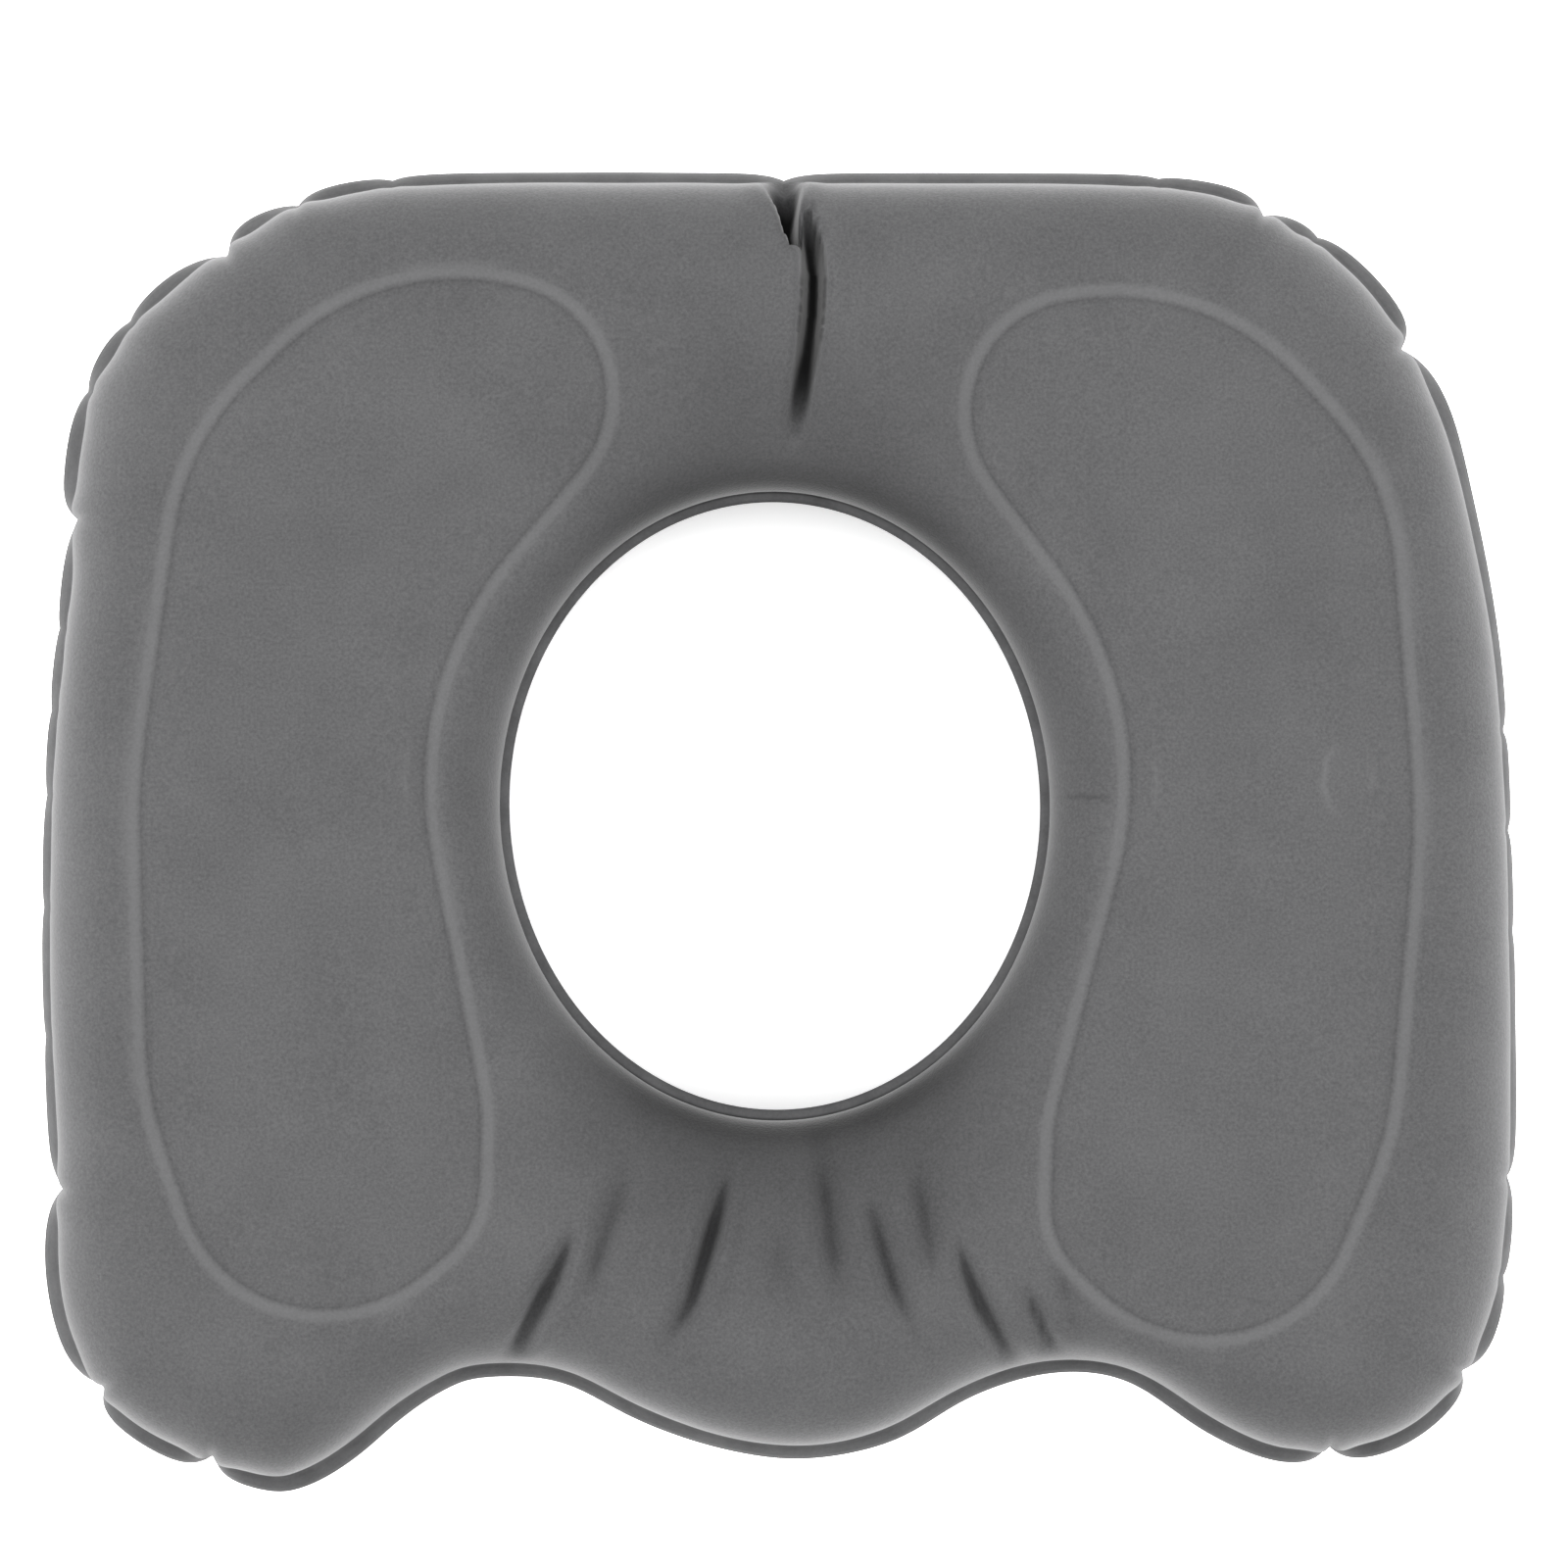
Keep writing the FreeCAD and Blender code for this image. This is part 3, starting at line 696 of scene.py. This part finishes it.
def flock_material():
    """Loose pile: fine clumps of fibre, and a faint nap where hands have stroked it."""
    material, tree, output, place = new_material("flocked_pvc_velvet")
    # The fibres are 0.5 mm long; their clumps are drawn 0.9 mm wide so that they show.
    pile = add_node(tree, "ShaderNodeTexNoise",
                    {"Scale": per_metre(0.9), "Detail": 2.0, "Roughness": 0.7}, {"Vector": place})
    nap = add_node(tree, "ShaderNodeTexNoise",
                   {"Scale": per_metre(34), "Detail": 3.0, "Roughness": 0.6}, {"Vector": place})
    tone = add_node(tree, "ShaderNodeMath", {"operation": "MULTIPLY_ADD", 1: 0.4},
                    {0: nap.outputs["Fac"], 2: pile.outputs["Fac"]})
    colour = ramp_between(tree, tone.outputs[0], 0.45, "#505051", 0.95, "#646465")
    pressed = add_node(tree, "ShaderNodeAttribute", {"attribute_name": "pile_pressed"})
    share = add_node(tree, "ShaderNodeMath", {"operation": "MULTIPLY", 1: 0.45},
                     {0: pressed.outputs["Fac"]})
    colour = add_node(tree, "ShaderNodeMix", {"data_type": "RGBA", 7: linear("#747475")},
                      {0: share.outputs[0], 6: colour}).outputs[2]
    bump = add_node(tree, "ShaderNodeBump", {"Strength": 0.4, "Distance": 0.0003},
                    {"Height": pile.outputs["Fac"]})
    # The shade attribute paints shade into the flock, towards #0A0A0A.
    shader = add_node(tree, "ShaderNodeBsdfPrincipled",
                      {"Roughness": 0.95, "Specular IOR Level": 0.1, "Sheen Weight": 0.42,
                       "Sheen Roughness": 0.42, "Sheen Tint": linear("#F2F2F2")},
                      {"Base Color": shaded(tree, colour, "#0A0A0A", 0.95),
                       "Normal": bump.outputs["Normal"]})
    tree.links.new(shader.outputs["BSDF"], output.inputs["Surface"])
    return material


def pressed_flock_material():
    """The strip where the hot tool has flattened and half melted the pile."""
    material, tree, output, place = new_material("heat_pressed_flocked_pvc")
    grain = add_node(tree, "ShaderNodeTexNoise", {"Scale": per_metre(0.9), "Detail": 2.0},
                     {"Vector": place})
    patches = add_node(tree, "ShaderNodeTexNoise", {"Scale": per_metre(9), "Detail": 2.0},
                       {"Vector": place})
    tone = add_node(tree, "ShaderNodeMath", {"operation": "MULTIPLY_ADD", 1: 0.5},
                    {0: grain.outputs["Fac"], 2: patches.outputs["Fac"]})
    colour = ramp_between(tree, tone.outputs[0], 0.45, "#49494A", 1.05, "#5C5C5D")
    bump = add_node(tree, "ShaderNodeBump", {"Strength": 0.25, "Distance": 0.0002},
                    {"Height": grain.outputs["Fac"]})
    # The shade attribute paints shade into the pressed strip, towards #1C1C1D.
    shader = add_node(tree, "ShaderNodeBsdfPrincipled",
                      {"Roughness": 0.7, "Specular IOR Level": 0.2, "Sheen Weight": 0.1,
                       "Sheen Roughness": 0.5},
                      {"Base Color": shaded(tree, colour, "#1C1C1D", 0.75),
                       "Normal": bump.outputs["Normal"]})
    tree.links.new(shader.outputs["BSDF"], output.inputs["Surface"])
    return material


def smooth_pvc_material(name, dark, light, grain_mm, bump_mm, roughness):
    """Bare PVC: calendered film, its cut edge, or a moulding, by its grain and gloss."""
    material, tree, output, place = new_material(name)
    grain = add_node(tree, "ShaderNodeTexNoise",
                     {"Scale": per_metre(grain_mm), "Detail": 3.0, "Roughness": 0.6}, {"Vector": place})
    patches = add_node(tree, "ShaderNodeTexNoise", {"Scale": per_metre(grain_mm * 12), "Detail": 2.0},
                       {"Vector": place})
    gloss = add_node(tree, "ShaderNodeMath", {"operation": "MULTIPLY_ADD", 1: 0.2, 2: roughness - 0.1},
                     {0: patches.outputs["Fac"]})
    bump = add_node(tree, "ShaderNodeBump", {"Strength": 0.3, "Distance": bump_mm * MM},
                    {"Height": grain.outputs["Fac"]})
    shader = add_node(tree, "ShaderNodeBsdfPrincipled", {"Specular IOR Level": 0.45},
                      {"Base Color": ramp_between(tree, patches.outputs["Fac"], 0.3, dark, 0.7, light),
                       "Roughness": gloss.outputs[0], "Normal": bump.outputs["Normal"]})
    tree.links.new(shader.outputs["BSDF"], output.inputs["Surface"])
    return material


flock = flock_material()
pressed_flock = pressed_flock_material()
film = smooth_pvc_material("calendered_pvc_film", "#7E8082", "#8D8F91", 0.8, 0.03, 0.42)
cut_film = smooth_pvc_material("knife_cut_pvc_film", "#626365", "#707173", 0.4, 0.02, 0.6)
moulding = smooth_pvc_material("moulded_soft_pvc", "#6B6D70", "#787A7D", 0.6, 0.02, 0.38)
# A sheet's outer face is flock and pressed flock, its inner face film, its rim cut film.
for sheet in (top, bottom):
    for material in (flock, pressed_flock, film, film, cut_film):
        sheet.data.materials.append(material)


# ------------------------------------------------------------------ the plug's tether
# A flat moulded strap that leaves the plug's head, curls round it and joins the lip of
# the stem. It is swept along one smooth line.

STRAP_HALF_WIDTH = 1.1     # mm
STRAP_HALF_THICK = 0.42    # mm
STRAP_SIDES = 16           # points round its section
strap_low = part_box("plug_tether")[0][2] / MM + 0.45
lip_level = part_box("plug_tether")[1][2] / MM - 0.55


def round_valve_at(radius, degrees, height):
    """A point at a radius and an angle about the valve's axis."""
    angle = math.radians(degrees)
    return (VALVE[0] + radius * math.cos(angle), VALVE[1] + radius * math.sin(angle), height)


strap_line = [round_valve_at(6.9, 25, strap_low), round_valve_at(8.2, 25, strap_low),
              round_valve_at(9.5, 31, strap_low), round_valve_at(9.7, 44, strap_low)]
strap_line += [round_valve_at(9.7, turn, strap_low) for turn in range(56, 190, 12)]
strap_line += [round_valve_at(9.6, 194, strap_low + 0.3), round_valve_at(8.9, 202, lip_level - 0.2),
               round_valve_at(7.8, 205, lip_level), round_valve_at(7.2, 205, lip_level)]


def smooth_line(route):
    """Points in metres along the smooth spline that a route in mm controls."""
    curve = bpy.data.curves.new("strap_line", "CURVE")
    curve.dimensions = "3D"
    spline = curve.splines.new("NURBS")
    spline.points.add(len(route) - 1)
    for point, place in zip(spline.points, route):
        point.co = (*[c * MM for c in place], 1)
    spline.order_u = 3
    spline.use_endpoint_u = True
    spline.resolution_u = 6
    guide = bpy.data.objects.new("strap_line", curve)
    line = np.array([v.co for v in bpy.data.meshes.new_from_object(guide).vertices])
    bpy.data.objects.remove(guide)
    return line


def swept_strap(name, line):
    """A closed flat strap with rounded edges along a line."""
    angles = np.linspace(0, 2 * math.pi, STRAP_SIDES, endpoint=False)
    wide = np.sign(np.cos(angles)) * np.abs(np.cos(angles)) ** 0.45 * STRAP_HALF_WIDTH
    thick = np.sign(np.sin(angles)) * np.abs(np.sin(angles)) ** 0.45 * STRAP_HALF_THICK
    section = np.stack([wide, thick], 1) * MM
    run = np.gradient(line, axis=0)
    across = np.stack([-run[:, 1], run[:, 0]], 1) / np.hypot(run[:, 0], run[:, 1])[:, None]
    points = [(x + u * w[0], y + u * w[1], z + v) for (x, y, z), w in zip(line, across)
              for u, v in section]
    last = STRAP_SIDES * (len(line) - 1)
    faces = [(k + j, k + (j + 1) % STRAP_SIDES, k + STRAP_SIDES + (j + 1) % STRAP_SIDES,
              k + STRAP_SIDES + j) for k in range(0, last, STRAP_SIDES) for j in range(STRAP_SIDES)]
    faces += [tuple(reversed(range(STRAP_SIDES))), tuple(range(last, last + STRAP_SIDES))]
    mesh = bpy.data.meshes.new(name)
    mesh.from_pydata(points, [], faces)
    mesh.shade_smooth()
    return bpy.data.objects.new(name, mesh)


strap = swept_strap("moulded_plug_tether", smooth_line(strap_line))
strap.data.materials.append(moulding)
bpy.context.scene.collection.objects.link(strap)
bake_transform(strap)
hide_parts("plug_tether")


# ------------------------------------------------------ the tension walls and valve
# Two kidney-shaped walls of bare PVC film, inside, keep the seat flat. The valve is
# four mouldings: the flange welded into the underside, the stem that slides in it, the
# film flap over the stem's inner end, and the plug.

for node, material in (("left_tension_wall", film), ("right_tension_wall", film), ("check_flap", film),
                       ("valve_flange", moulding), ("valve_stem", moulding), ("valve_plug", moulding)):
    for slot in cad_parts[node].material_slots:
        slot.material = material


# ------------------------------------------------------------------ floor and light
# Not part of the object: a white table lit from below, in a pale tent with a softbox
# above and one on each side.

TABLE_GLOW = 1.4           # round the cushion
HOLE_GLOW = 0.45           # inside its opening
floor_mesh = bpy.data.meshes.new("floor")
floor_mesh.from_pydata([(-3, -3, 0), (3, -3, 0), (3, 3, 0), (-3, 3, 0)], [], [(0, 1, 2, 3)])
floor = bpy.data.objects.new("floor", floor_mesh)
bpy.context.scene.collection.objects.link(floor)
material, tree, output, place = new_material("lit_white_acrylic")
from_middle = add_node(tree, "ShaderNodeVectorMath", {"operation": "LENGTH"}, {0: place})
glow = add_node(tree, "ShaderNodeMapRange", {1: 0.11, 2: 0.14, 3: HOLE_GLOW, 4: TABLE_GLOW},
                {0: from_middle.outputs["Value"]})
shader = add_node(tree, "ShaderNodeBsdfPrincipled",
                  {"Roughness": 0.9, "Base Color": linear("#F4F4F4"), "Specular IOR Level": 0.1,
                   "Emission Color": linear("#FFFFFF")}, {"Emission Strength": glow.outputs[0]})
tree.links.new(shader.outputs["BSDF"], output.inputs["Surface"])
floor_mesh.materials.append(material)

world = bpy.data.worlds.new("light_tent")
world.use_nodes = True
world.node_tree.nodes["Background"].inputs["Color"].default_value = (1, 1, 1, 1)
world.node_tree.nodes["Background"].inputs["Strength"].default_value = 0.25
bpy.context.scene.world = world


def soft_light(name, place, size, power):
    """A square softbox that faces the cushion."""
    light = bpy.data.lights.new(name, "AREA")
    light.size = size
    light.energy = power
    lamp = bpy.data.objects.new(name, light)
    lamp.location = place
    lamp.rotation_euler = (Vector((0, 0, 0.03)) - Vector(place)).to_track_quat("-Z", "Y").to_euler()
    lamp.visible_camera = False
    bpy.context.scene.collection.objects.link(lamp)


soft_light("softbox_above", (0.0, 0.1, 1.9), 0.8, 19)
soft_light("softbox_left", (-1.5, 0.05, 0.8), 0.8, 24)
soft_light("softbox_right", (1.5, 0.05, 0.8), 0.8, 22)

# The camera looks straight down through a long lens.
VIEW_WIDTH = 0.4574        # m across the picture, at the height of the hanging edge
VIEW_CENTRE = (0.0020, 0.0133)    # m
lens = bpy.data.cameras.new("long_lens")
lens.lens = 200
lens.sensor_width = 36
camera = bpy.data.objects.new("camera", lens)
distance = VIEW_WIDTH * lens.lens / lens.sensor_width
camera.location = (*VIEW_CENTRE, (mid_height - 6) * MM + distance)
bpy.context.scene.collection.objects.link(camera)
bpy.context.scene.camera = camera
bpy.context.scene.view_settings.view_transform = "Standard"
